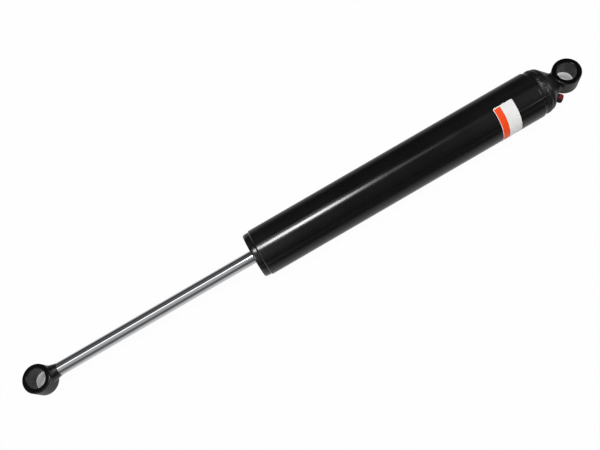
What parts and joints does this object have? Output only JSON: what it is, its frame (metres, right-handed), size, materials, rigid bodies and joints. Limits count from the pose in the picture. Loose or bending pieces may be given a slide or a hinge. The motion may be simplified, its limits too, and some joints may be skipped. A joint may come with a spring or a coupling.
{
  "type": "shock absorber",
  "caption": "Gas-charged telescopic shock absorber: a black tube with a welded eye and a capped charging valve, and a chromed rod with a welded eye that slides into it.",
  "frame": {"origin": "centre of the tube's eye, on the damper's axis and half-way through the eye's bore", "axes": "+X along the damper from the rod's eye to the tube's eye, +Z along both eyes' bores, upwards as the damper lies in the picture, +Y completing the right-handed frame"},
  "size_m": [0.587, 0.046, 0.046],
  "materials": {
    "black_paint": "gloss enamel",
    "hard_chrome": "ground and polished",
    "red_plastic": "moulded, satin",
    "brass": "turned",
    "aluminium": "turned",
    "steel": "ground",
    "bronze": "lined",
    "rubber": "matte",
    "ptfe": "matte",
    "label": "printed vinyl film"
  },
  "bodies": {
    "tube": {"pressure_tube": "black_paint", "end_cap": "black_paint", "end_cap_weld": "black_paint", "tube_eye": "black_paint", "tube_eye_weld": "black_paint", "valve_body": "brass", "seal_head": "aluminium", "seal_head_seal": "rubber", "guide_bush": "bronze", "rod_seal": "rubber", "end_cover": "black_paint", "dust_wiper": "rubber"},
    "valve_cap": {"valve_cap": "red_plastic"},
    "valve_pin": {"valve_pin": "brass"},
    "floating_piston": {"floating_piston": "aluminium", "floating_piston_seal": "rubber"},
    "piston_band": {"piston_band": "ptfe"},
    "rod": {"piston_rod": "hard_chrome", "rod_eye": "black_paint", "rod_eye_weld": "black_paint", "rebound_bumper": "rubber", "backing_washer": "steel", "compression_shims": "steel", "piston": "steel", "rebound_shims": "steel", "piston_nut": "steel"}
  },
  "joints": [
    {"name": "rod_slide", "type": "slide", "parent": "tube", "child": "piston_band", "axis": [1, 0, 0], "range_m": [0, 0.18], "stiffness_N_per_m": 900, "springref_m": -0.19},
    {"name": "rod_spin", "type": "hinge", "parent": "piston_band", "child": "rod", "pos_m": [-0.268, 0, 0], "axis": [1, 0, 0], "continuous": true},
    {"name": "floating_piston_slide", "type": "slide", "parent": "tube", "child": "floating_piston", "axis": [1, 0, 0], "range_m": [0, 0.0173]},
    {"name": "valve_cap_off", "type": "slide", "parent": "tube", "child": "valve_cap", "axis": [0.6947, -0.6841, -0.2223], "range_m": [0, 0.012]},
    {"name": "valve_pin_press", "type": "slide", "parent": "tube", "child": "valve_pin", "axis": [-0.6947, 0.6841, 0.2223], "range_m": [0, 0.0012], "stiffness_N_per_m": 800, "springref_m": -0.002}
  ],
  "couplings": [
    {"joint": "floating_piston_slide", "follows": "rod_slide", "ratio": 0.0961}
  ]
}
